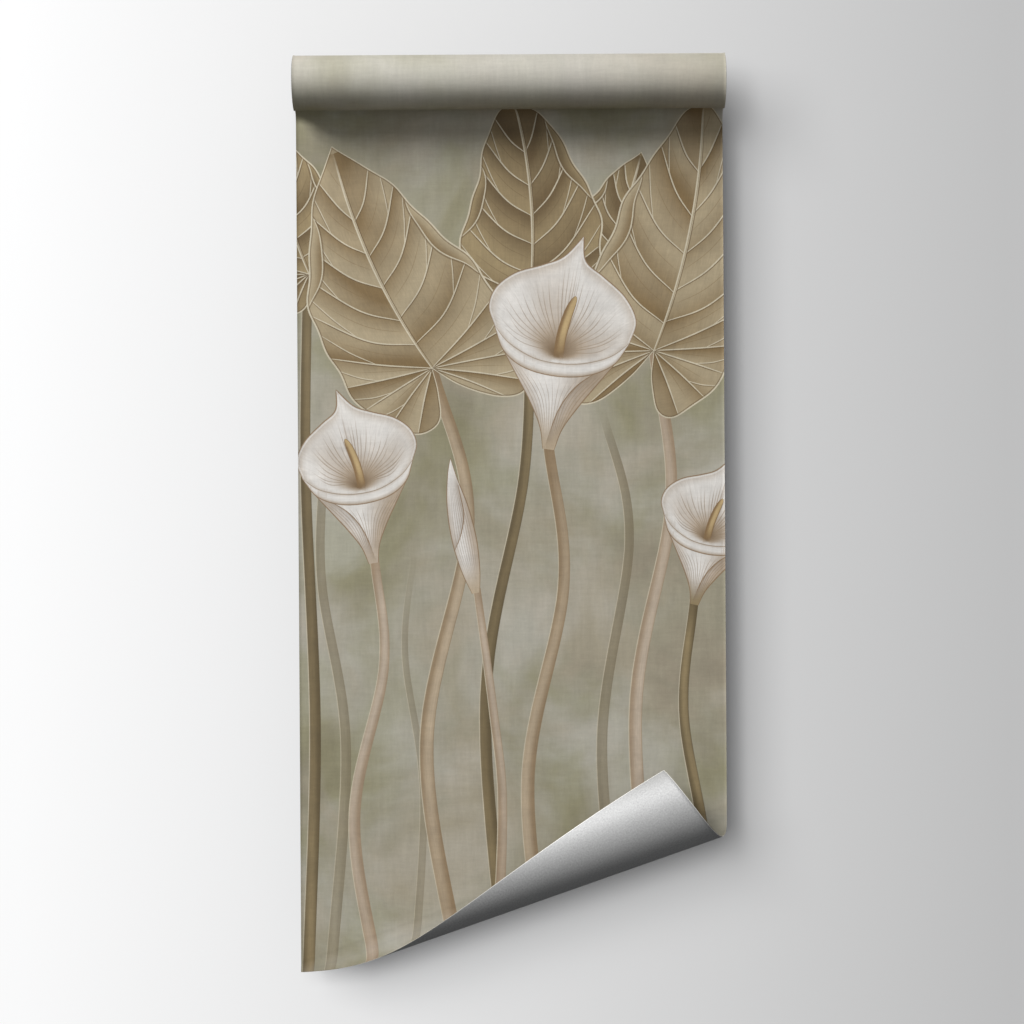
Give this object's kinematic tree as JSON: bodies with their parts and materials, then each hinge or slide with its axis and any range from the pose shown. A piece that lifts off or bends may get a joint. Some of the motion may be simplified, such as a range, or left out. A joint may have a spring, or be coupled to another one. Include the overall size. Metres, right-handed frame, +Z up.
{
  "type": "wallpaper roll",
  "caption": "Roll of wallpaper hung by its core and partly unrolled, the sheet hanging flat with its lower right corner curled forward to show the pale back.",
  "frame": {"origin": "on the roll's axis at mid width, where the core is held", "axes": "+X along the roll to the right, +Y away from the printed side, towards the wall, +Z up"},
  "size_m": [0.5301, 0.0669, 1.1329],
  "materials": {
    "printed_paper": "matte print with a faint linen grain, pale grey back",
    "core_board": "matte, spirally wound board"
  },
  "bodies": {
    "root": {"wallpaper": "printed_paper", "core_tube": "core_board"}
  },
  "joints": []
}
